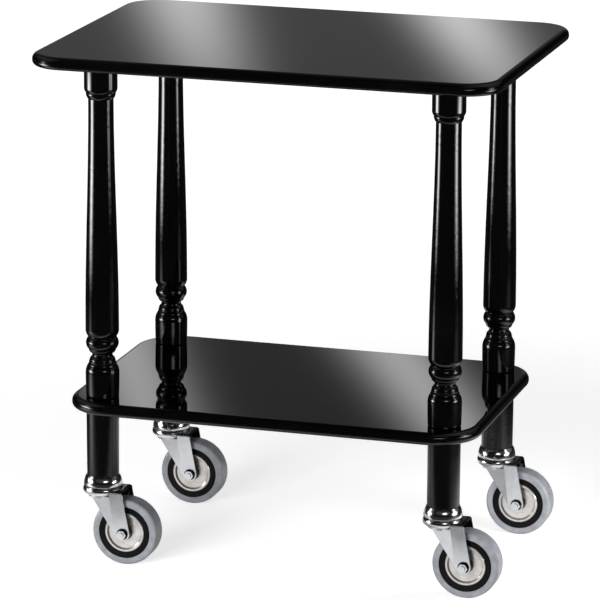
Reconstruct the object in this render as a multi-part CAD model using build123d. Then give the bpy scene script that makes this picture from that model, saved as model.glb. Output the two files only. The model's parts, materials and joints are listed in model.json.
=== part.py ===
from build123d import *
import os
from math import cos, pi

# Serving trolley: two lacquered boards on four turned legs, rolling on four swivel castors.
# Millimetres, +Z up, origin on the floor under the middle of the top board.
# X runs along the length, -Y is the front. The castors trail towards +X.

# Boards
top_length = 700.0
top_width = 505.0
top_thickness = 18.5
top_corner_radius = 56.0
overall_height = 776.0
shelf_setback_length = 38.0
shelf_setback_width = 41.5
shelf_thickness = 18.5
shelf_corner_radius = 70.0
shelf_top_height = 254.0
upper_edge_radius = 9.5
lower_edge_radius = 7.5

# Leg centres, in from the shelf edges
leg_inset_length = 50.75
leg_inset_width = 50.5

# Turned upper leg, heights stacked from the shelf upwards
vase_foot_diameter = 48.8
vase_foot_round = 2.0
vase_diameter = 50.0
vase_height = 37.0
shoulder_diameter = 44.2
shoulder_height = 10.8
lower_ring_diameter = 43.0
lower_ring_height = 4.0
upper_ring_diameter = 38.8
upper_ring_height = 3.2
ring_bulge = 0.6
lower_ovolo_diameter = 38.6
lower_ovolo_height = 5.8
cove_diameter = 32.4
cove_height = 5.8
neck_diameter = 30.2
upper_ovolo_diameter = 40.6
upper_ovolo_height = 6.4
bead_base_diameter = 41.4
bead_height = 18.2
bead_diameter = 48.6
groove_diameter = 40.6
heel_height = 11.0
taper_foot_diameter = 49.6
taper_head_diameter = 37.2
taper_foot_ease = 0.37
taper_head_ease = 0.34
ogee_height = 10.0
ogee_bulge = 1.3
ogee_diameter = 43.4
collar_step = 0.8
collar_round_height = 6.0
collar_diameter = 49.0
collar_height = 39.0

# Plain lower leg
lower_leg_diameter = 48.4
lower_leg_foot_diameter = 47.6

# Studs that hold the boards and legs together
top_stud_diameter = 8.0
top_stud_in_board = 12.0
top_stud_in_leg = 32.0
leg_stud_diameter = 10.0
leg_stud_in_leg = 36.0
stud_clearance = 0.1
stud_hole_spare = 1.0
stud_tip_chamfer = 1.0

# Wheel
wheel_diameter = 100.0
tyre_width = 32.0
tyre_shoulder_radius = 4.5
tyre_bore_diameter = 79.2
tyre_seat_clearance = 0.1
rim_width = 30.0
rim_depth = 11.5
web_thickness = 8.0
hub_diameter = 22.0
hub_end_gap = 1.0
guard_diameter = 60.4
guard_seat_clearance = 0.1
guard_sheet = 1.2
guard_lip_width = 3.4
guard_lip_height = 0.9
guard_slope_width = 2.2
guard_dish_depth = 2.6
guard_bore_clearance = 0.5
bush_wall = 2.0
bush_running_clearance = 0.05

# Axle
axle_diameter = 8.0
axle_clearance = 0.1
axle_hole_clearance = 0.2
sleeve_diameter = 12.0
hex_sides = 6
hex_across_flats = 13.0
bolt_head_height = 5.3
nut_height = 6.5
bolt_end_projection = 1.6
hex_chamfer = 0.8

# Fork
castor_trail = 38.0
fork_width = 50.0
fork_sheet = 2.5
fork_tip_radius = 10.5
fork_lead_reach = 22.0
fork_trail_reach = 36.5
fork_corner_radius = 5.5
fork_bend_radius = 4.0
crease_foot_reach = 25.0
crease_angle = 14.0
crown_drum_radius = 22.2
crown_drum_height = 12.5
wheel_to_stem_gap = 7.9

# Swivel head
stem_head_diameter = 28.0
stem_head_height = 3.3
stem_head_clearance = 0.3
stem_collar_diameter = 18.0
stem_collar_clearance = 0.08
stem_diameter = 12.0
stem_length_in_leg = 36.0
stem_clearance = 0.1
socket_diameter = 18.0
socket_length = 44.0
ball_diameter = 4.8
ball_pitch_diameter = 30.0
ball_count = 8
ball_clearance = 0.1
dust_ring_diameter = 59.8
dust_ring_top_diameter = 55.6
dust_ring_bottom_diameter = 49.0
dust_ring_seat_height = 3.4
dust_ring_upper_height = 6.1
dust_ring_lower_height = 5.7
dust_ring_wall = 1.2
dust_ring_bore_clearance = 3.0
dust_ring_fork_clearance = 0.6

# Chrome cap around the leg foot
cap_diameter = 57.2
cap_bottom_diameter = 56.6
cap_wall = 1.4
cap_floor = 2.5
cap_height = 15.6
cap_lower_height = 0.6
cap_groove = 1.0
cap_leg_clearance = 0.1

# Shelf and leg grid, worked out from the top board inwards
shelf_length = top_length - 2 * shelf_setback_length
shelf_width = top_width - 2 * shelf_setback_width
leg_x = shelf_length / 2 - leg_inset_length
leg_y = shelf_width / 2 - leg_inset_width

# Heights worked out from the floor upwards
axle_height = wheel_diameter / 2
stem_head_bottom = wheel_diameter + wheel_to_stem_gap
stem_head_top = stem_head_bottom + stem_head_height
crown_underside = stem_head_top + stem_head_clearance
crown_top = crown_underside + fork_sheet
dust_ring_top = crown_top + dust_ring_seat_height
dust_ring_middle = dust_ring_top - dust_ring_upper_height
dust_ring_bottom = dust_ring_middle - dust_ring_lower_height
cap_bottom = dust_ring_top + cap_groove
cap_floor_underside = crown_top + ball_diameter + 2 * ball_clearance
leg_foot = cap_floor_underside + cap_floor
cap_top = cap_bottom + cap_height
shelf_underside = shelf_top_height - shelf_thickness
top_underside = overall_height - top_thickness
upper_leg_length = top_underside - shelf_top_height
lower_leg_length = shelf_underside - leg_foot

# The fork sides leave the dust ring where they are as wide as the ring, and the creases start there
fork_half_width = fork_width / 2
crown_arm_start = ((dust_ring_diameter / 2) ** 2 - fork_half_width**2) ** 0.5

# Wheel hub, which runs on a bush around the axle sleeve
fork_inner_face = fork_half_width - fork_sheet
hub_half_length = fork_inner_face - hub_end_gap
bush_bore_diameter = sleeve_diameter + 2 * bush_running_clearance
bush_diameter = bush_bore_diameter + 2 * bush_wall

leg_places = {
    "front_left": (-leg_x, -leg_y),
    "front_right": (leg_x, -leg_y),
    "rear_left": (-leg_x, leg_y),
    "rear_right": (leg_x, leg_y),
}


def rod(diameter, low, high):
    """Round bar on the Z axis between two heights."""
    bar = Cylinder(diameter / 2, high - low, align=(Align.CENTER, Align.CENTER, Align.MIN))
    return Pos(0, 0, low) * bar


def cross_rod(diameter, front, back):
    """Round bar along Y between two depths, through the wheel axis."""
    bar = Cylinder(diameter / 2, back - front, align=(Align.CENTER, Align.CENTER, Align.MIN))
    return Pos(castor_trail, front, axle_height) * Rot(-90, 0, 0) * bar


def turned(edges):
    """Solid of revolution about Z from a closed outline of radius and height."""
    return revolve(Plane.XZ * make_face(edges), Axis.Z)


def wheel_turned(edges):
    """Solid of revolution about the wheel axis from an outline of radius and depth."""
    solid = revolve(Plane.XZ * make_face(edges), Axis.Z)
    return Pos(castor_trail, 0, axle_height) * Rot(-90, 0, 0) * solid


def board(length, width, thickness, corner_radius, top):
    """Board with rounded corners and softly rounded edges, its upper face at the given height."""
    slab = extrude(RectangleRounded(length, width, corner_radius), thickness)
    slab = Pos(0, 0, top - thickness) * slab
    slab = fillet(slab.faces().sort_by(Axis.Z)[-1].edges(), upper_edge_radius)
    return fillet(slab.faces().sort_by(Axis.Z)[0].edges(), lower_edge_radius)


def at_legs(solid):
    """One copy of a solid at each leg."""
    return [Pos(x, y, 0) * solid for x, y in leg_places.values()]


def make_top_board():
    slab = board(top_length, top_width, top_thickness, top_corner_radius, overall_height)
    hole_top = top_underside + top_stud_in_board + stud_hole_spare
    hole = rod(top_stud_diameter + 2 * stud_clearance, top_underside, hole_top)
    return slab - at_legs(hole)


def make_lower_shelf():
    slab = board(shelf_length, shelf_width, shelf_thickness, shelf_corner_radius, shelf_top_height)
    hole = rod(leg_stud_diameter + 2 * stud_clearance, shelf_underside, shelf_top_height)
    return slab - at_legs(hole)


def make_upper_leg():
    """Turned leg: vase, two fine rings, neck between ovolos, bead, long swelling taper and collar."""
    lower_ring_base = vase_height + shoulder_height
    upper_ring_base = lower_ring_base + lower_ring_height
    lower_ovolo_base = upper_ring_base + upper_ring_height
    cove_base = lower_ovolo_base + lower_ovolo_height
    upper_ovolo_base = cove_base + cove_height
    bead_base = upper_ovolo_base + upper_ovolo_height
    heel_base = bead_base + bead_height
    taper_base = heel_base + heel_height
    collar_base = upper_leg_length - collar_height
    collar_round_base = collar_base - collar_round_height
    ogee_base = collar_round_base - ogee_height
    taper_length = ogee_base - taper_base

    vase_foot = vase_foot_diameter / 2
    vase = vase_diameter / 2
    shoulder = shoulder_diameter / 2
    lower_ring = lower_ring_diameter / 2
    upper_ring = upper_ring_diameter / 2
    lower_ovolo = lower_ovolo_diameter / 2
    cove = cove_diameter / 2
    upper_ovolo = upper_ovolo_diameter / 2
    bead_foot = bead_base_diameter / 2
    groove = groove_diameter / 2
    taper_foot = taper_foot_diameter / 2
    taper_head = taper_head_diameter / 2
    ogee = ogee_diameter / 2
    collar = collar_diameter / 2
    cove_depth = cove - neck_diameter / 2
    bead_bulge = (bead_diameter - bead_foot - groove) / 2

    outline = [
        Line((0, 0), (vase_foot - vase_foot_round, 0)),
        TangentArc((vase_foot - vase_foot_round, 0), (vase_foot, vase_foot_round), tangent=(1, 0)),
        TangentArc((vase, vase_height), (vase_foot, vase_foot_round), tangent=(0, -1)),
        TangentArc((vase, vase_height), (shoulder, lower_ring_base), tangent=(0, 1)),
        Line((shoulder, lower_ring_base), (lower_ring, lower_ring_base)),
        SagittaArc((lower_ring, lower_ring_base), (upper_ring, upper_ring_base), -ring_bulge),
        SagittaArc((upper_ring, upper_ring_base), (lower_ovolo, lower_ovolo_base), -ring_bulge),
        TangentArc((lower_ovolo, lower_ovolo_base), (cove, cove_base), tangent=(0, 1)),
        SagittaArc((cove, cove_base), (cove, upper_ovolo_base), cove_depth),
        TangentArc((upper_ovolo, bead_base), (cove, upper_ovolo_base), tangent=(0, -1)),
        Line((upper_ovolo, bead_base), (bead_foot, bead_base)),
        SagittaArc((bead_foot, bead_base), (groove, heel_base), -bead_bulge),
        TangentArc((taper_foot, taper_base), (groove, heel_base), tangent=(0, -1)),
        Bezier(
            (taper_foot, taper_base),
            (taper_foot, taper_base + taper_foot_ease * taper_length),
            (taper_head, ogee_base - taper_head_ease * taper_length),
            (taper_head, ogee_base),
        ),
        SagittaArc((taper_head, ogee_base), (ogee, collar_round_base), -ogee_bulge),
        Line((ogee, collar_round_base), (ogee + collar_step, collar_round_base)),
        TangentArc((collar, collar_base), (ogee + collar_step, collar_round_base), tangent=(0, -1)),
        Line((collar, collar_base), (collar, upper_leg_length)),
        Line((collar, upper_leg_length), (0, upper_leg_length)),
        Line((0, upper_leg_length), (0, 0)),
    ]
    leg = Pos(0, 0, shelf_top_height) * turned(outline)
    foot_hole_top = shelf_top_height + leg_stud_in_leg + stud_hole_spare
    head_hole_bottom = top_underside - top_stud_in_leg - stud_hole_spare
    leg -= rod(leg_stud_diameter + 2 * stud_clearance, shelf_top_height, foot_hole_top)
    leg -= rod(top_stud_diameter + 2 * stud_clearance, head_hole_bottom, top_underside)
    return leg


def make_lower_leg():
    """Plain, slightly tapered leg below the shelf, bored for its stud and for the castor socket."""
    leg = Cone(
        lower_leg_foot_diameter / 2,
        lower_leg_diameter / 2,
        lower_leg_length,
        align=(Align.CENTER, Align.CENTER, Align.MIN),
    )
    leg = Pos(0, 0, leg_foot) * leg
    stud_hole_bottom = shelf_underside - leg_stud_in_leg - stud_hole_spare
    socket_hole_top = leg_foot + socket_length + stud_hole_spare
    leg -= rod(leg_stud_diameter + 2 * stud_clearance, stud_hole_bottom, shelf_underside)
    leg -= rod(socket_diameter + 2 * stud_clearance, leg_foot, socket_hole_top)
    return leg


def stud(diameter, low, high):
    """Stud with chamfered ends."""
    bar = rod(diameter, low, high)
    return chamfer(bar.edges().filter_by(GeomType.CIRCLE), stud_tip_chamfer)


def make_castor_cap():
    """Chrome cap that closes round the leg foot, with a floor that the leg stands on."""
    bulge_height = cap_bottom + cap_lower_height
    leg_slope = (lower_leg_diameter - lower_leg_foot_diameter) / 2 / lower_leg_length
    leg_radius_at_top = lower_leg_foot_diameter / 2 + leg_slope * (cap_top - leg_foot)
    mouth = leg_radius_at_top + cap_leg_clearance
    widest = cap_diameter / 2
    base = cap_bottom_diameter / 2
    lip = mouth + cap_wall / 2
    outline = [
        Line((mouth, cap_top), (lip, cap_top)),
        TangentArc((widest, bulge_height), (lip, cap_top), tangent=(0, 1)),
        TangentArc((widest, bulge_height), (base, cap_bottom), tangent=(0, -1)),
        Line((base, cap_bottom), (base - cap_wall, cap_bottom)),
        Line((base - cap_wall, cap_bottom), (base - cap_wall, cap_floor_underside)),
        Line((base - cap_wall, cap_floor_underside), (0, cap_floor_underside)),
        Line((0, cap_floor_underside), (0, leg_foot)),
        Line((0, leg_foot), (mouth, leg_foot)),
        Line((mouth, leg_foot), (mouth, cap_top)),
    ]
    return turned(outline) - rod(stem_diameter + 2 * stem_clearance, cap_floor_underside, leg_foot)


def make_stem_socket():
    """Steel sleeve in the leg foot that takes the castor stem."""
    sleeve = rod(socket_diameter, leg_foot, leg_foot + socket_length)
    return sleeve - rod(stem_diameter + 2 * stem_clearance, leg_foot, leg_foot + socket_length)


def make_castor_stem():
    """Stem with the swivel collar and the head that carries the fork when the trolley is lifted."""
    head = rod(stem_head_diameter, stem_head_bottom, stem_head_top)
    collar = rod(stem_collar_diameter, stem_head_top, cap_floor_underside)
    shank = stud(stem_diameter, cap_floor_underside, leg_foot + stem_length_in_leg)
    return head + collar + shank


def make_dust_ring():
    """Bowl-shaped chrome ring seated on the fork crown, open where the fork trails out of it."""

    def bowl(upper, inset):
        """Bowl up to a height, drawn in by the wall for its inside."""
        middle = dust_ring_middle
        head = dust_ring_top_diameter / 2 - inset
        belly = dust_ring_diameter / 2 - inset
        foot = dust_ring_bottom_diameter / 2 - inset
        return turned(
            [
                Line((0, upper), (head, upper)),
                TangentArc((belly, middle), (head, upper), tangent=(0, 1)),
                TangentArc((belly, middle), (foot, dust_ring_bottom), tangent=(0, -1)),
                Line((foot, dust_ring_bottom), (0, dust_ring_bottom)),
                Line((0, dust_ring_bottom), (0, upper)),
            ]
        )

    bore_diameter = ball_pitch_diameter + ball_diameter + dust_ring_bore_clearance
    shell = bowl(dust_ring_top, 0) - bowl(crown_top, dust_ring_wall)
    shell -= rod(bore_diameter, dust_ring_bottom, dust_ring_top)
    gate_start = crown_arm_start - dust_ring_fork_clearance
    gate = Box(
        dust_ring_diameter,
        fork_width + 2 * dust_ring_fork_clearance,
        crown_top - dust_ring_bottom,
        align=(Align.MIN, Align.CENTER, Align.MIN),
    )
    return shell - Pos(gate_start, 0, dust_ring_bottom) * gate


def fork_side_view():
    """Side view of the fork across its full width: crown line, straight edges and round axle end."""
    tip = Pos(castor_trail, axle_height) * Circle(fork_tip_radius)
    crown_line = Line((-fork_lead_reach, crown_top), (fork_trail_reach, crown_top))
    outline = make_hull(tip.edges() + crown_line.edges())
    trailing_corner = outline.vertices().sort_by_distance(Vertex(fork_trail_reach, crown_top))[0]
    outline = fillet(trailing_corner, fork_corner_radius)
    return extrude(Plane.XZ * outline, fork_half_width, both=True)


def fork_tunnel(width, top, bend):
    """Block along the fork with its upper long edges rounded as the sheet is bent."""
    length = 2 * (fork_lead_reach + fork_trail_reach + castor_trail)
    block = Box(length, width, top, align=(Align.CENTER, Align.CENTER, Align.MIN))
    return fillet(block.edges().filter_by(Axis.X).group_by(Axis.Z)[-1], bend)


def make_fork():
    """Pressed fork: drawn drum, crown folded down into two sides, creased leading edges, axle holes."""
    side_view = fork_side_view()
    inner_bend = fork_bend_radius - fork_sheet
    channel = fork_tunnel(fork_width, crown_top, fork_bend_radius)
    channel -= fork_tunnel(2 * fork_inner_face, crown_underside, inner_bend)

    reach = fork_lead_reach + fork_trail_reach
    ahead_of_crease = make_face(
        Polyline(
            (crease_foot_reach, axle_height),
            (crown_arm_start, crown_top),
            (crown_arm_start - reach, crown_top),
            (crease_foot_reach - reach, axle_height),
            close=True,
        )
    )
    lead_block = extrude(Plane.XZ * ahead_of_crease, fork_width, both=True)
    fork = (channel & side_view) - lead_block

    front_sheet = Box(2 * reach, fork_sheet, crown_top, align=(Align.CENTER, Align.MIN, Align.MIN))
    front_sheet = Pos(0, -fork_half_width, 0) * front_sheet & side_view & lead_block
    crease_foot = Vector(crease_foot_reach, -fork_half_width, axle_height)
    crease_head = Vector(crown_arm_start, -fork_half_width, crown_top)
    lead_part = front_sheet.rotate(Axis(crease_foot, crease_head - crease_foot), -crease_angle)

    ring_room_bottom = dust_ring_bottom - dust_ring_fork_clearance
    headroom = crown_top + fork_sheet
    ring_room = rod(dust_ring_diameter + 2 * dust_ring_fork_clearance, ring_room_bottom, headroom)
    ring_room -= rod(2 * crown_drum_radius, ring_room_bottom, crown_top)
    lead_part -= ring_room
    fork += lead_part
    fork += mirror(lead_part, Plane.XZ)

    drum = rod(2 * crown_drum_radius, crown_top - crown_drum_height, crown_top)
    drum -= rod(2 * (crown_drum_radius - fork_sheet), crown_top - crown_drum_height, crown_underside)
    fork += drum
    fork -= rod(stem_collar_diameter + 2 * stem_collar_clearance, crown_underside, crown_top)
    return fork - cross_rod(axle_diameter + 2 * axle_hole_clearance, -fork_width, fork_width)


def make_bearing_balls():
    """Ring of balls that carries the leg on the fork crown."""
    centre_height = crown_top + ball_clearance + ball_diameter / 2
    places = PolarLocations(ball_pitch_diameter / 2, ball_count)
    return [Pos(0, 0, centre_height) * place * Sphere(ball_diameter / 2) for place in places]


def hexagon(inner_face, height, outwards):
    """Hexagonal block around the axle, standing on a fork side, its outer corners turned down."""
    prism = extrude(RegularPolygon(hex_across_flats / 2, hex_sides, major_radius=False), height)
    corner_radius = hex_across_flats / 2 / cos(pi / hex_sides)
    blank = Cylinder(corner_radius, height, align=(Align.CENTER, Align.CENTER, Align.MIN))
    blank = chamfer(blank.edges().sort_by(Axis.Z)[-1], hex_chamfer)
    return Pos(castor_trail, inner_face, axle_height) * Rot(-90 * outwards, 0, 0) * (prism & blank)


def make_axle_bolt():
    thread_end = -fork_half_width - nut_height - bolt_end_projection
    head = hexagon(fork_half_width, bolt_head_height, 1)
    return cross_rod(axle_diameter, thread_end, fork_half_width) + head


def make_axle_nut():
    nut = hexagon(-fork_half_width, nut_height, -1)
    bore_diameter = axle_diameter + 2 * axle_clearance
    return nut - cross_rod(bore_diameter, -fork_half_width - nut_height, -fork_half_width)


def make_axle_sleeve():
    """Steel tube clamped between the fork sides, on which the wheel turns."""
    sleeve = cross_rod(sleeve_diameter, -fork_inner_face, fork_inner_face)
    bore_diameter = axle_diameter + 2 * axle_clearance
    return sleeve - cross_rod(bore_diameter, -fork_inner_face, fork_inner_face)


def make_wheel_bush():
    bush = cross_rod(bush_diameter, -hub_half_length, hub_half_length)
    return bush - cross_rod(bush_bore_diameter, -hub_half_length, hub_half_length)


def make_wheel_core():
    """Black moulded wheel body: hub, web and rim with a seat for the guard on each side."""
    half_rim = rim_width / 2
    rim_outer = tyre_bore_diameter / 2 - tyre_seat_clearance
    guard_bore = guard_diameter / 2 + guard_seat_clearance
    rim_inner = rim_outer - rim_depth
    hub = hub_diameter / 2
    seat_depth = half_rim - guard_sheet
    half_web = web_thickness / 2
    bore = bush_diameter / 2
    half_outline = [
        (bore, hub_half_length),
        (hub, hub_half_length),
        (hub, half_web),
        (rim_inner, half_web),
        (rim_inner, seat_depth),
        (guard_bore, seat_depth),
        (guard_bore, half_rim),
        (rim_outer, half_rim),
    ]
    mirrored = [(radius, -depth) for radius, depth in reversed(half_outline)]
    return wheel_turned(Polyline(*half_outline, *mirrored, close=True).edges())


def make_thread_guard():
    """Dished plated disc with a raised lip, pressed into the rim on the back of the wheel."""
    outer = guard_diameter / 2
    lip_inner = outer - guard_lip_width
    dish = lip_inner - guard_slope_width
    bore = hub_diameter / 2 + guard_bore_clearance
    seat = rim_width / 2 - guard_sheet
    lip = rim_width / 2 + guard_lip_height
    floor = seat - guard_dish_depth
    outline = Polyline(
        (outer, seat),
        (outer, rim_width / 2),
        (outer - guard_lip_height, lip),
        (lip_inner, lip),
        (dish, floor + guard_sheet),
        (bore, floor + guard_sheet),
        (bore, floor),
        (dish - guard_sheet / 2, floor),
        (lip_inner - guard_sheet / 2, seat),
        close=True,
    )
    return wheel_turned(outline.edges())


def make_tyre():
    half_width = tyre_width / 2
    tread = wheel_diameter / 2
    bore = tyre_bore_diameter / 2
    shoulder = tyre_shoulder_radius
    outline = [
        Line((bore, -half_width), (tread - shoulder, -half_width)),
        RadiusArc((tread - shoulder, -half_width), (tread, shoulder - half_width), -shoulder),
        Line((tread, shoulder - half_width), (tread, half_width - shoulder)),
        RadiusArc((tread, half_width - shoulder), (tread - shoulder, half_width), -shoulder),
        Line((tread - shoulder, half_width), (bore, half_width)),
        Line((bore, half_width), (bore, -half_width)),
    ]
    return wheel_turned(outline)


def write(name, *solids):
    """One STEP file for a node, of one solid or a group of like solids."""
    shape = solids[0] if len(solids) == 1 else Compound(children=list(solids))
    export_step(shape, f"parts/{name}.step")


os.makedirs("parts", exist_ok=True)

write("top_board", make_top_board())
write("lower_shelf", make_lower_shelf())

top_stud = stud(top_stud_diameter, top_underside - top_stud_in_leg, top_underside + top_stud_in_board)
leg_stud = stud(leg_stud_diameter, shelf_underside - leg_stud_in_leg, shelf_top_height + leg_stud_in_leg)
write("top_studs", *at_legs(top_stud))
write("leg_studs", *at_legs(leg_stud))
write("stem_sockets", *at_legs(make_stem_socket()))
write("castor_stems", *at_legs(make_castor_stem()))

guard = make_thread_guard()
single_pieces = {
    "upper_leg": make_upper_leg(),
    "lower_leg": make_lower_leg(),
    "castor_cap": make_castor_cap(),
    "dust_ring": make_dust_ring(),
    "fork": make_fork(),
    "axle_bolt": make_axle_bolt(),
    "axle_nut": make_axle_nut(),
    "axle_sleeve": make_axle_sleeve(),
    "tyre": make_tyre(),
    "wheel_core": make_wheel_core(),
    "wheel_bush": make_wheel_bush(),
}
grouped_pieces = {
    "bearing_balls": make_bearing_balls(),
    "thread_guards": [guard, mirror(guard, Plane.XZ)],
}

for place, (x, y) in leg_places.items():
    for piece, solid in single_pieces.items():
        write(f"{piece}_{place}", Pos(x, y, 0) * solid)
    for piece, solids in grouped_pieces.items():
        write(f"{piece}_{place}", *[Pos(x, y, 0) * solid for solid in solids])
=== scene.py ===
import json
from math import cos, radians, sin

import bpy
from mathutils import Matrix, Vector


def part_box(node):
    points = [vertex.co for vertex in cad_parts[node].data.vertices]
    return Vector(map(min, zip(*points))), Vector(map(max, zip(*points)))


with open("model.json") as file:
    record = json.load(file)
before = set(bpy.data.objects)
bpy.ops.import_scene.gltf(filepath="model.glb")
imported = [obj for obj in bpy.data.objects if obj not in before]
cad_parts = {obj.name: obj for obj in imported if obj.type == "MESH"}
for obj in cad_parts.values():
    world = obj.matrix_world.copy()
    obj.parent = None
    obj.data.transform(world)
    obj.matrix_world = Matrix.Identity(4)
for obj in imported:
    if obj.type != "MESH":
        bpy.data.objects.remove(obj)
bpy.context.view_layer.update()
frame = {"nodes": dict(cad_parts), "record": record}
nodes = frame["nodes"]
scene = bpy.context.scene
bpy.ops.object.select_all(action="DESELECT")
print("frame loaded,", len(nodes), "nodes")

# where the castors are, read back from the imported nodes
castorPlaces = ["front_left", "front_right", "rear_left", "rear_right"]
legLow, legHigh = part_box("lower_leg_front_right")
wheelLow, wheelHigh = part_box("tyre_front_right")
legX = (legLow.x + legHigh.x) / 2
legY = (legLow.y + legHigh.y) / -2
axleX = (wheelLow.x + wheelHigh.x) / 2
axleZ = (wheelLow.z + wheelHigh.z) / 2
castorTrail = axleX - legX
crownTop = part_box("fork_front_right")[1].z

# where the colour mix node keeps its two colours and its result
mixUnder, mixOver, mixResult = 6, 7, 2


# a socket, with the maths that is done on it
class Wire:
    def __init__(self, tree, socket=None):
        self.tree = tree
        self.socket = socket

    # any node: its type, then its settings, then the values or links of its sockets
    def node(self, kind, settings=None, sockets=None, output=0):
        made = self.tree.nodes.new(kind)
        for name, value in (settings or {}).items():
            setattr(made, name, value)
        for name, value in (sockets or {}).items():
            if isinstance(value, Wire):
                self.tree.links.new(value.socket, made.inputs[name])
            else:
                made.inputs[name].default_value = value
        return Wire(self.tree, made.outputs[output] if made.outputs else None)

    def maths(self, operation, first, second=0.0):
        return self.node("ShaderNodeMath", {"operation": operation}, {0: first, 1: second})

    def __add__(self, other):
        return self.maths("ADD", self, other)

    def __radd__(self, other):
        return self.maths("ADD", other, self)

    def __sub__(self, other):
        return self.maths("SUBTRACT", self, other)

    def __rsub__(self, other):
        return self.maths("SUBTRACT", other, self)

    def __mul__(self, other):
        return self.maths("MULTIPLY", self, other)

    def __rmul__(self, other):
        return self.maths("MULTIPLY", other, self)

    def __truediv__(self, other):
        return self.maths("DIVIDE", self, other)

    def __pow__(self, other):
        return self.maths("POWER", self, other)

    def __abs__(self):
        return self.maths("ABSOLUTE", self)

    def larger(self, other):
        return self.maths("MAXIMUM", self, other)

    # 1 where this is 0, fading as it grows: of a square, a bell
    def fade(self):
        return self.maths("EXPONENT", self * -1)

    # 0 at start, 1 at full, smooth between
    def rise(self, start, full):
        settings = {"interpolation_type": "SMOOTHSTEP"}
        sockets = {"Value": self, "From Min": start, "From Max": full}
        return self.node("ShaderNodeMapRange", settings, sockets)

    # 1 up to an edge, 0 past a soft rim
    def upTo(self, edge, rim):
        return 1 - self.rise(edge, edge + rim)

    def axis(self, name):
        return self.node("ShaderNodeSeparateXYZ", None, {"Vector": self}, name)


def newFinish(name):
    material = bpy.data.materials.new(name)
    material.use_nodes = True
    material.node_tree.nodes.clear()
    return material, Wire(material.node_tree)


def closeFinish(wire, sockets):
    shader = wire.node("ShaderNodeBsdfPrincipled", None, sockets)
    wire.node("ShaderNodeOutputMaterial", None, {"Surface": shader})


def objectPlace(wire):
    return wire.node("ShaderNodeTexCoord", output="Object")


# which way the surface faces
def objectFacing(wire):
    return wire.node("ShaderNodeTexCoord", output="Normal")


# 1 for the rays of one kind
def rays(wire, kind):
    return wire.node("ShaderNodeLightPath", output=kind)


def cloud(place, scale, detail):
    return place.node("ShaderNodeTexNoise", None, {"Vector": place, "Scale": scale, "Detail": detail})


# noise in one direction only: lathe lines, brushing
def lines(along, scale, detail):
    sockets = {"W": along, "Scale": scale, "Detail": detail}
    return along.node("ShaderNodeTexNoise", {"noise_dimensions": "1D"}, sockets)


# one colour over another, each of them plain or itself mixed
def blend(factor, under, over):
    sockets = {"Factor": factor}
    for socket, colour in ((mixUnder, under), (mixOver, over)):
        sockets[socket] = colour if isinstance(colour, Wire) else (*colour, 1)
    return factor.node("ShaderNodeMix", {"data_type": "RGBA"}, sockets, mixResult)


# depth is how many metres a height of 1 stands up
def relief(height, depth=1.0):
    return height.node("ShaderNodeBump", None, {"Height": height, "Distance": depth, "Strength": 1.0})


# distance from the nearest wheel axle, for anything that was turned on it
def axleRadius(place):
    across = abs(place.axis("X") - castorTrail) - legX
    up = place.axis("Z") - axleZ
    return (across * across + up * up) ** 0.5


# in the settings a noise is its scale and its detail, and a span is where a mask starts and is full

# gloss black, sprayed and polished: faint orange peel, polishing haze, a few dust nibs
lacquer = {
    "dark": (0.0008, 0.0008, 0.001),
    "light": (0.0016, 0.0016, 0.0019),
    "ior": 1.5,
    "roughness": 0.025,
    "hazeNoise": (14.0, 4.0),
    "hazeSpan": (0.45, 0.75),
    "hazeRough": 0.025,
    "peelNoise": (420.0, 1.0),
    "peelDepth": 0.000003,
    "nibScale": 42.0,
    "nibSize": 0.022,
    "nibCore": 0.4,  # the part of its size that is at full height
    "nibRough": 0.2,
    "nibHeight": 2.0,  # times the peel
}


def lacquerFinish(name, settings):
    material, wire = newFinish(name)
    place = objectPlace(wire)
    haze = cloud(place, *settings["hazeNoise"]).rise(*settings["hazeSpan"])
    peel = cloud(place, *settings["peelNoise"])
    fromNib = wire.node("ShaderNodeTexVoronoi", None, {"Vector": place, "Scale": settings["nibScale"]})
    nib = 1 - fromNib.rise(settings["nibSize"] * settings["nibCore"], settings["nibSize"])
    roughness = settings["roughness"] + haze * settings["hazeRough"] + nib * settings["nibRough"]
    closeFinish(wire, {
        "Base Color": blend(haze, settings["dark"], settings["light"]),
        "Roughness": roughness,
        "Normal": relief(peel + nib * settings["nibHeight"], settings["peelDepth"]),
        "IOR": settings["ior"],
    })
    return material


# the plain lower legs are rubbed down to a satin, with lathe lines round them
satin = {
    "dark": (0.0012, 0.0012, 0.0016),
    "light": (0.0026, 0.0026, 0.0031),
    "ior": 1.5,
    "roughness": 0.05,
    "rubNoise": (60.0, 4.0),
    "rubRough": 0.05,
    "rubHeight": 0.2,  # times the lathe lines
    "lineNoise": (1400.0, 2.0),
    "lineRough": 0.03,
    "lineDepth": 0.00006,
}


def satinFinish(name, settings):
    material, wire = newFinish(name)
    place = objectPlace(wire)
    rub = cloud(place, *settings["rubNoise"])
    lathe = lines(place.axis("Z"), *settings["lineNoise"])
    closeFinish(wire, {
        "Base Color": blend(rub, settings["dark"], settings["light"]),
        "Roughness": settings["roughness"] + rub * settings["rubRough"] + lathe * settings["lineRough"],
        "Normal": relief(lathe + rub * settings["rubHeight"], settings["lineDepth"]),
        "IOR": settings["ior"],
    })
    return material


# polished chrome over a spun shell
chrome = {
    "dark": (0.70, 0.70, 0.72),
    "light": (0.83, 0.83, 0.85),
    "metal": 1.0,
    "roughness": 0.08,
    "smearNoise": (90.0, 5.0),
    "smearSpan": (0.42, 0.72),
    "smearRough": 0.06,
    "spinNoise": (2600.0, 2.0),
    "spinDepth": 0.000003,
}


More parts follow.
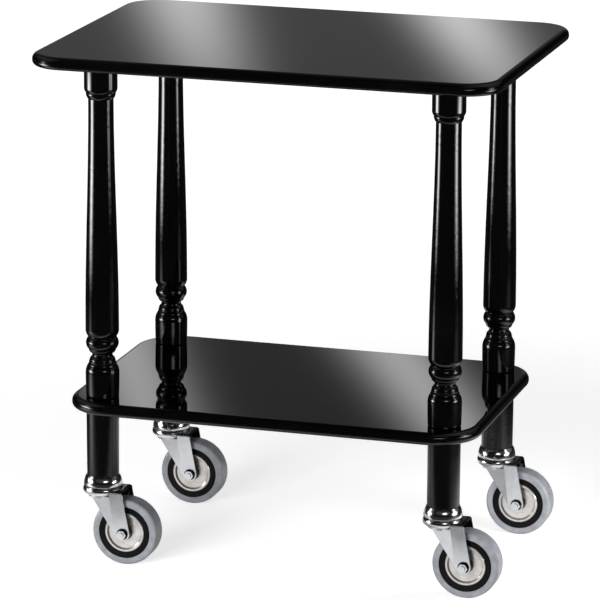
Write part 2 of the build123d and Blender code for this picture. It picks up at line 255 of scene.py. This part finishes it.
def chromeFinish(name, settings):
    material, wire = newFinish(name)
    place = objectPlace(wire)
    smear = cloud(place, *settings["smearNoise"]).rise(*settings["smearSpan"])
    spin = lines(place.axis("Z"), *settings["spinNoise"])
    closeFinish(wire, {
        "Base Color": blend(smear, settings["light"], settings["dark"]),
        "Metallic": settings["metal"],
        "Roughness": settings["roughness"] + smear * settings["smearRough"],
        "Normal": relief(spin, settings["spinDepth"]),
    })
    return material


# bright zinc: satin and bluish on the pressed sheet, brighter on the axle bolts and nuts
zinc = {
    "dark": (0.75, 0.765, 0.80),
    "light": (0.81, 0.825, 0.86),
    "metal": 0.85,
    "roughness": 0.2,
    "mottleNoise": (60.0, 5.0),
    "mottleSpan": (0.3, 0.7),
    "mottleRough": 0.08,
    "grainNoise": (1800.0, 2.0),
    "grainDepth": 0.000006,
    "waveNoise": (55.0, 1.0),
    "waveStretch": (1.0, 1.0, 0.25),  # long up and down
    "waveDepth": 0.0,
}
boltZinc = {**zinc, "metal": 0.9, "roughness": 0.12, "grainDepth": 0.000004}
# the pressed forks are a little wavy
forkZinc = {**zinc, "waveDepth": 0.0006}
# painted shade blackens the top of the crown where it faces up or back, the inside of each fork and round its
# axle, and the flats of the bolts and nuts, broken up by noise
paintedShade = {
    "colour": (0.012, 0.011, 0.01),
    "noise": (110.0, 3.0),
    "noiseSpan": (0.2, 0.45),
    "crown": 0.0035,  # how far below the top of the crown
    "crownFull": 0.8,  # the part of that where it is full
    "upSpan": (0.3, 0.7),
    "trailingSpan": (0.7, 0.9),
    "insideSpan": (-0.0002, -0.001),
    "axle": 0.0078,
    "axleSoft": 0.0018,
    "flatSpan": (0.4, 0.1),
}


# painted shade on the fork: the top of the crown where it faces up or back, the inside faces, and round the
# axle
def forkPaintedShade(wire):
    place, facing = objectPlace(wire), objectFacing(wire)
    y = place.axis("Y")
    crown = place.axis("Z").rise(crownTop - paintedShade["crown"], crownTop - paintedShade["crown"] * paintedShade["crownFull"])
    upwards = facing.axis("Z").rise(*paintedShade["upSpan"])
    trailing = facing.axis("X").rise(*paintedShade["trailingSpan"])
    inside = ((abs(y) - legY) * facing.axis("Y") * y).rise(*paintedShade["insideSpan"])
    atAxle = axleRadius(place).rise(paintedShade["axle"] + paintedShade["axleSoft"], paintedShade["axle"])
    return (crown * upwards.larger(trailing)).larger(inside).larger(atAxle)


# painted shade on the bolt and nut faces that do not face along the axle
def flatsPaintedShade(wire):
    return abs(objectFacing(wire).axis("Y")).rise(*paintedShade["flatSpan"])


def zincFinish(name, settings, paintedShadeMask=None):
    material, wire = newFinish(name)
    place = objectPlace(wire)
    mottle = cloud(place, *settings["mottleNoise"])
    grain = cloud(place, *settings["grainNoise"])
    stretch = {0: place, 1: settings["waveStretch"]}
    stretched = wire.node("ShaderNodeVectorMath", {"operation": "MULTIPLY"}, stretch)
    wave = cloud(stretched, *settings["waveNoise"])
    colour = blend(mottle.rise(*settings["mottleSpan"]), settings["dark"], settings["light"])
    # painted shade: near black laid over the zinc where the mask says, broken up by noise
    if paintedShadeMask:
        patchyShade = cloud(place, *paintedShade["noise"]).rise(*paintedShade["noiseSpan"])
        colour = blend(paintedShadeMask(wire) * patchyShade, colour, paintedShade["colour"])
    closeFinish(wire, {
        "Base Color": colour,
        "Metallic": settings["metal"],
        "Roughness": settings["roughness"] + mottle * settings["mottleRough"],
        "Normal": relief(grain * settings["grainDepth"] + wave * settings["waveDepth"]),
    })
    return material


# warm satin nickel on the spun guards, with lines round the axle
nickel = {
    "dark": (0.64, 0.612, 0.58),
    "light": (0.78, 0.757, 0.73),
    "metal": 0.8,
    "roughness": 0.12,
    "spinNoise": (1100.0, 3.0),
    "spinRough": 0.06,
    "spinDepth": 0.0001,
    "tarnishNoise": (70.0, 4.0),
    "tarnishSpan": (0.3, 0.7),
    "tarnishRough": 0.06,
}


def nickelFinish(name, settings):
    material, wire = newFinish(name)
    place = objectPlace(wire)
    spin = lines(axleRadius(place), *settings["spinNoise"])
    tarnish = cloud(place, *settings["tarnishNoise"])
    pale = tarnish.rise(*settings["tarnishSpan"])
    roughness = settings["roughness"] + spin * settings["spinRough"]
    closeFinish(wire, {
        "Base Color": blend(pale, settings["dark"], settings["light"]),
        "Metallic": settings["metal"],
        "Roughness": roughness + tarnish * settings["tarnishRough"],
        "Normal": relief(spin, settings["spinDepth"]),
    })
    return material


# polished balls of the swivel bearing, under a film of grease
ballSteel = {
    "dark": (0.42, 0.41, 0.38),
    "light": (0.66, 0.66, 0.67),
    "metal": 1.0,
    "roughness": 0.08,
    "filmNoise": (420.0, 3.0),
    "filmSpan": (0.45, 0.65),
    "filmRough": 0.2,
}


def ballFinish(name, settings):
    material, wire = newFinish(name)
    film = cloud(objectPlace(wire), *settings["filmNoise"]).rise(*settings["filmSpan"])
    closeFinish(wire, {
        "Base Color": blend(film, settings["light"], settings["dark"]),
        "Metallic": settings["metal"],
        "Roughness": settings["roughness"] + film * settings["filmRough"],
    })
    return material


# moulded plastics: a fine spark texture, a little cloudy
mould = {
    "shadeNoise": (45.0, 3.0),
    "shadeRough": 0.12,
    "sparkNoise": (1500.0, 2.0),
    "sparkDepth": 0.00004,
}
blackPlastic = {
    **mould,
    "dark": (0.002, 0.002, 0.0025),
    "light": (0.004, 0.004, 0.0045),
    "roughness": 0.3,
    "gloss": 0.15,
}
nylon = {
    **mould,
    "dark": (0.62, 0.60, 0.54),
    "light": (0.74, 0.72, 0.66),
    "roughness": 0.42,
    "gloss": 0.5,
}


def plasticFinish(name, settings):
    material, wire = newFinish(name)
    place = objectPlace(wire)
    shade = cloud(place, *settings["shadeNoise"])
    spark = cloud(place, *settings["sparkNoise"])
    closeFinish(wire, {
        "Base Color": blend(shade, settings["dark"], settings["light"]),
        "Roughness": settings["roughness"] + shade * settings["shadeRough"],
        "Normal": relief(spark, settings["sparkDepth"]),
        "Specular IOR Level": settings["gloss"],
    })
    return material


# grey non-marking rubber: cloudy sides, a mould line and floor dust on the tread
rubber = {
    "dark": (0.235, 0.243, 0.265),
    "light": (0.305, 0.315, 0.342),
    "ior": 1.5,
    "roughness": 0.32,
    "blotchNoise": (85.0, 5.0),
    "blotchSpan": (0.3, 0.7),
    "blotchRough": 0.1,
    "grainNoise": (900.0, 2.0),
    "grainDepth": 0.00005,
    "treadRadius": 0.0485,
    "treadSoft": 0.0013,
    "lineWidth": 0.0003,
    "lineCore": 0.5,  # the part of its width that is at full height
    "lineHeight": 3.0,  # times the grain
    "dustColour": (0.15, 0.15, 0.155),
    "dustNoise": (300.0, 4.0),
    "dustSpan": (0.4, 0.7),
    "dust": 0.5,
    "dustRough": 0.2,
}


def rubberFinish(name, settings):
    material, wire = newFinish(name)
    place = objectPlace(wire)
    blotch = cloud(place, *settings["blotchNoise"])
    grain = cloud(place, *settings["grainNoise"])
    fromMiddle = abs(abs(place.axis("Y")) - legY)
    line = 1 - fromMiddle.rise(settings["lineWidth"] * settings["lineCore"], settings["lineWidth"])
    treadEnd = settings["treadRadius"] + settings["treadSoft"]
    onTread = axleRadius(place).rise(settings["treadRadius"], treadEnd)
    dust = onTread * cloud(place, *settings["dustNoise"]).rise(*settings["dustSpan"]) * settings["dust"]
    side = blend(blotch.rise(*settings["blotchSpan"]), settings["dark"], settings["light"])
    closeFinish(wire, {
        "Base Color": blend(dust, side, settings["dustColour"]),
        "Roughness": settings["roughness"] + blotch * settings["blotchRough"] + dust * settings["dustRough"],
        "Normal": relief(grain + onTread * line * settings["lineHeight"], settings["grainDepth"]),
        "IOR": settings["ior"],
    })
    return material


finishes = {
    "black_lacquer": lacquerFinish("blackLacquer", lacquer),
    "black_satin": satinFinish("blackSatin", satin),
    "chrome": chromeFinish("polishedChrome", chrome),
    "zinc_steel": zincFinish("brightZinc", zinc),
    "nickel_plate": nickelFinish("satinNickel", nickel),
    "bearing_steel": ballFinish("ballSteel", ballSteel),
    "black_plastic": plasticFinish("blackPlastic", blackPlastic),
    "nylon": plasticFinish("naturalNylon", nylon),
    "grey_rubber": rubberFinish("greyRubber", rubber),
}
# three of the zinc pieces are finished in their own way, with painted shade on the fork and on the flats of
# the bolts and nuts
ownFinishes = {
    "axle_bolt": zincFinish("boltZinc", boltZinc, flatsPaintedShade),
    "fork": zincFinish("forkZinc", forkZinc, forkPaintedShade),
}
print("finishes made,", len(finishes) + len(ownFinishes))
ownFinishes["axle_nut"] = ownFinishes["axle_bolt"]

for part in frame["record"]["subparts"]:
    piece = part["node"]
    for castorPlace in castorPlaces:
        piece = piece.removesuffix("_" + castorPlace)
    mesh = nodes[part["node"]].data
    mesh.materials.clear()
    mesh.materials.append(ownFinishes.get(piece, finishes[part["material_slot"]]))

# the way the photograph was taken, its angles in degrees
camera = {
    "place": (1.69709, -5.70694, 1.91237),
    "yaw": -16.611,
    "pitch": -14.421,
    "roll": 0.344,
    "focalPixels": 4124.31,
    "photoPixels": 600,
    "sensor": 36,
    "clipEnd": 100,
}


def makeCamera():
    yaw, pitch, roll = (radians(camera[turn]) for turn in ("yaw", "pitch", "roll"))
    ahead = Vector((sin(yaw) * cos(pitch), cos(yaw) * cos(pitch), sin(pitch)))
    right = Vector((cos(yaw), -sin(yaw), 0))
    up = right.cross(ahead)
    turned = right * cos(roll) + up * sin(roll)
    tilted = up * cos(roll) - right * sin(roll)
    data = bpy.data.cameras.new("photoCamera")
    data.sensor_width = camera["sensor"]
    data.lens = camera["focalPixels"] * camera["sensor"] / camera["photoPixels"]
    data.clip_end = camera["clipEnd"]
    eye = bpy.data.objects.new("photoCamera", data)
    scene.collection.objects.link(eye)
    axes = Matrix((turned, tilted, -ahead)).transposed().to_4x4()
    eye.matrix_world = Matrix.Translation(camera["place"]) @ axes
    scene.camera = eye
    return right, Vector((-ahead.x, -ahead.y, 0)).normalized()


eyeRight, towardsEye = makeCamera()
print("camera placed")


# a place round the trolley: metres to the right of the camera's line, and towards the camera
def around(side, ahead, height):
    return eyeRight * side + towardsEye * ahead + Vector((0, 0, height))


# the other way about, for a place or a direction in a shader
def sideAndAhead(place):
    x, y = place.axis("X"), place.axis("Y")
    return x * eyeRight.x + y * eyeRight.y, x * towardsEye.x + y * towardsEye.y


# floor: white to the eye, with the trolley's shadow on it
floor = {
    "size": 24.0,
    "colour": (0.9, 0.9, 0.9, 1),
    "nearLift": 0.6,
    "farLift": 0.85,
    "liftSpan": (0.6, 2.2),
}
# what the gloss shows of the floor is painted light and painted shade: a lit apron, painted shade under the
# boards, dark beyond
apron = {
    "level": 0.78,
    "dark": 0.03,
    "underX": 0.18,
    "underY": 0.22,
    "shade": 0.3,
    "front": 0.4,
    "ahead": 0.44,
    "sides": 0.3,
    "back": 0.5,
    "sharp": 0.08,
    "soft": 0.25,
}
# and painted pools of light on it, one at the left and two at the right
paintedPools = [
    {"side": -1.25, "ahead": 0.15, "across": 0.55, "along": 0.22, "glow": 2.4},
    {"side": 0.62, "ahead": 0.12, "across": 0.15, "along": 0.35, "glow": 1.6},
    {"side": 1.5, "ahead": 0.55, "across": 0.45, "along": 0.35, "glow": 0.35},
]


# painted light and painted shade that the floor shows to glossy rays only
def paintedFloorGloss(place):
    x, y = place.axis("X"), place.axis("Y")
    side, ahead = sideAndAhead(place)
    under = abs(x).upTo(apron["underX"], apron["sharp"])
    under = under * abs(y).upTo(apron["underY"], apron["sharp"])
    lit = abs(side).upTo(apron["sides"], apron["soft"])
    lit = lit * (y * -1).upTo(apron["front"], apron["sharp"])
    lit = lit * ahead.upTo(apron["ahead"], apron["sharp"])
    lit = lit * (ahead * -1).upTo(apron["back"], apron["soft"])
    level = apron["dark"] + lit * apron["level"] * (1 - under * (1 - apron["shade"]))
    for pool in paintedPools:
        across = (side - pool["side"]) / pool["across"]
        along = (ahead - pool["ahead"]) / pool["along"]
        level = level + (across * across + along * along).fade() * pool["glow"]
    return level


def makeFloor():
    bpy.ops.mesh.primitive_plane_add(size=floor["size"], location=(0, 0, 0))
    plane = bpy.context.object
    plane.name = "floor"
    material, wire = newFinish("paleFloor")
    place = objectPlace(wire)
    x, y = place.axis("X"), place.axis("Y")
    away = (x * x + y * y) ** 0.5
    lift = floor["nearLift"] + away.rise(*floor["liftSpan"]) * (floor["farLift"] - floor["nearLift"])
    paper = wire.node("ShaderNodeBsdfDiffuse", None, {"Color": floor["colour"]})
    glow = wire.node("ShaderNodeEmission", None, {"Color": rays(wire, "Is Camera Ray") * lift})
    seen = wire.node("ShaderNodeAddShader", None, {0: paper, 1: glow})
    # to glossy rays the floor is a glow of painted light and painted shade, not its lit paper
    paintedGloss = wire.node("ShaderNodeEmission", None, {"Color": paintedFloorGloss(place)})
    glossy = rays(wire, "Is Glossy Ray")
    both = wire.node("ShaderNodeMixShader", None, {0: glossy, 1: seen, 2: paintedGloss})
    wire.node("ShaderNodeOutputMaterial", None, {"Surface": both})
    plane.data.materials.append(material)


makeFloor()
print("floor laid")

# a large soft lamp at the front left and a small weak one low down off the right end,
# neither of them seen in the gloss, which shows the cards below
lamps = {
    "lampFront": {"side": -1.7, "ahead": 2.6, "height": 0.85, "size": (1.6, 1.0), "watts": 95},
    "lampRight": {"side": 0.594, "ahead": 0.177, "height": 0.2, "size": (0.25, 0.25), "watts": 2},
}


def makeLamp(name, settings):
    data = bpy.data.lights.new(name, "AREA")
    data.shape = "RECTANGLE"
    data.size, data.size_y = settings["size"]
    data.energy = settings["watts"]
    lamp = bpy.data.objects.new(name, data)
    scene.collection.objects.link(lamp)
    lamp.location = around(settings["side"], settings["ahead"], settings["height"])
    away = Vector((lamp.location.x, lamp.location.y, 0))
    lamp.rotation_euler = (-away).to_track_quat("-Z", "Y").to_euler()
    lamp.visible_camera = False
    lamp.visible_glossy = False


for lampName, lampSettings in lamps.items():
    makeLamp(lampName, lampSettings)
print("lamps placed")

# soft white cards that only the gloss shows: a low bright one each side for the streaks down the
# legs, with a tall dim one over it, two behind for the bands across the boards, one by the lens
cards = {
    "cardLeft": {"side": -1.74, "ahead": 0.21, "foot": 0.05, "head": 0.5, "width": 0.5,
                 "glow": 20, "footFade": 0.3, "headFade": 0.08, "lean": 0},
    "cardRight": {"side": 1.59, "ahead": 0.61, "foot": 0.12, "head": 0.5, "width": 0.5,
                  "glow": 16, "footFade": 0.36, "headFade": 0.08, "lean": 0},
    "tallLeft": {"side": -1.76, "ahead": 0.21, "foot": 0.42, "head": 1.4, "width": 0.3,
                 "glow": 3.4, "footFade": 0.08, "headFade": 0.8, "lean": 0},
    "tallRight": {"side": 1.61, "ahead": 0.61, "foot": 0.42, "head": 1.4, "width": 0.3,
                  "glow": 3.4, "footFade": 0.08, "headFade": 0.8, "lean": 0},
    "bandLeft": {"side": -0.262, "ahead": -2.0, "foot": 0.5, "head": 1.5, "width": 0.147,
                 "glow": 1.2, "footFade": 0.1, "headFade": 0.5, "lean": 20},
    "bandRight": {"side": 0.36, "ahead": -4.0, "foot": 0.955, "head": 1.955, "width": 0.15,
                  "glow": 1.3, "footFade": 0.1, "headFade": 0.5, "lean": 37.6},
    "cardLens": {"side": 0.62, "ahead": 2.9, "foot": 0.95, "head": 1.35, "width": 0.8,
                 "glow": 6, "footFade": 0.1, "headFade": 0.1, "lean": 0},
}
# a card is cut at this many of its widths, and has half its glow at half a width from the middle
cardWidths = 4
cardFall = 2.77


def makeCard(name, settings):
    bpy.ops.mesh.primitive_plane_add(size=1, location=(0, 0, 0))
    card = bpy.context.object
    card.name = name
    tall = settings["head"] - settings["foot"]
    place = around(settings["side"], settings["ahead"], settings["foot"] + tall / 2)
    facing = towardsEye if settings["ahead"] < 0 else Vector((-place.x, -place.y, 0)).normalized()
    up = Vector((0, 0, 1))
    axes = Matrix((up.cross(facing), up, facing)).transposed().to_4x4()
    lean = Matrix.Rotation(radians(-settings["lean"]), 4, "Z")
    size = Matrix.Diagonal((settings["width"] * cardWidths, tall, 1, 1))
    card.matrix_world = Matrix.Translation(place) @ axes @ lean @ size
    material, wire = newFinish(name)
    spot = objectPlace(wire)
    widths = spot.axis("X") * cardWidths
    height = (spot.axis("Y") + 0.5) * tall  # from the foot
    bell = (widths * widths * cardFall).fade()
    ends = height.rise(0, settings["footFade"]) * (1 - height.rise(tall - settings["headFade"], tall))
    light = wire.node("ShaderNodeEmission", None, {"Color": bell * ends, "Strength": settings["glow"]})
    clear = wire.node("ShaderNodeBsdfTransparent")
    both = wire.node("ShaderNodeAddShader", None, {0: light, 1: clear})
    wire.node("ShaderNodeOutputMaterial", None, {"Surface": both})
    card.data.materials.append(material)
    card.visible_camera = False
    card.visible_diffuse = False
    card.visible_shadow = False


for cardName, cardSettings in cards.items():
    makeCard(cardName, cardSettings)
print("cards hung,", len(cards))

# studio: white to the eye and an even fill on the trolley; in the gloss a dim wall behind, dim sides,
# nearly dark in front, a soft ceiling over the sides and a dim one overhead, towards the right
studio = {
    "white": 1.0,
    "fill": 0.27,
    "front": 0.008,
    "lowWall": 0.145,
    "highWall": 0.09,
    "wallDepth": (0.3, -0.6),
    "wallSides": (0.45, 0.15),
    "wallStep": (0.18, 0.28),
    "sideWall": 0.1,
    "sideEnds": (0.8, 0.95),
    "sideFoot": (0.05, 0.2),
    "sideHead": (0.7, 0.5),
    "frontWall": 0.04,
    "frontDepth": (0.5, 0.8),
    "frontFoot": (0.2, 0.3),
    "frontHead": (0.6, 0.45),
    "ceiling": 0.3,
    "ceilingLeft": (-0.3, -0.6),
    "ceilingRight": (0.25, 0.6),
    "ceilingDepth": (0.45, 0.1),
    "ceilingFoot": (0.2, 0.75),
    "overhead": 0.25,
    "overheadFoot": (0.6, 0.95),
    "overheadRight": (-0.22, 0.4),
}


def wallsInGloss(ray):
    x, z = ray.axis("X"), ray.axis("Z")
    across, ahead = sideAndAhead(ray)
    side = abs(across)
    behind = ahead.rise(*studio["wallDepth"]) * side.rise(*studio["wallSides"])
    wall = studio["lowWall"] + z.rise(*studio["wallStep"]) * (studio["highWall"] - studio["lowWall"])
    sideWalls = side.rise(*studio["sideEnds"]) * z.rise(*studio["sideFoot"])
    sideWalls = sideWalls * z.rise(*studio["sideHead"]) * studio["sideWall"]
    frontWall = ahead.rise(*studio["frontDepth"]) * z.rise(*studio["frontFoot"])
    frontWall = frontWall * z.rise(*studio["frontHead"]) * studio["frontWall"]
    flanks = across.rise(*studio["ceilingLeft"]) + across.rise(*studio["ceilingRight"])
    flanks = flanks * ahead.rise(*studio["ceilingDepth"])
    ceiling = flanks * z.rise(*studio["ceilingFoot"]) * studio["ceiling"]
    overhead = z.rise(*studio["overheadFoot"]) * x.rise(*studio["overheadRight"]) * studio["overhead"]
    walls = studio["front"] + behind * (wall - studio["front"])
    return walls + sideWalls + frontWall + (ceiling + overhead)


def makeStudio():
    world = bpy.data.worlds.new("studio")
    world.use_nodes = True
    scene.world = world
    world.node_tree.nodes.clear()
    wire = Wire(world.node_tree)
    walls = wallsInGloss(wire.node("ShaderNodeTexCoord", output="Generated"))
    level = studio["fill"] + rays(wire, "Is Camera Ray") * (studio["white"] - studio["fill"])
    level = level + rays(wire, "Is Glossy Ray") * (walls - studio["fill"])
    sky = wire.node("ShaderNodeBackground", None, {"Color": level})
    wire.node("ShaderNodeOutputWorld", None, {"Surface": sky})


makeStudio()
scene.view_settings.view_transform = "Standard"
print("studio set")
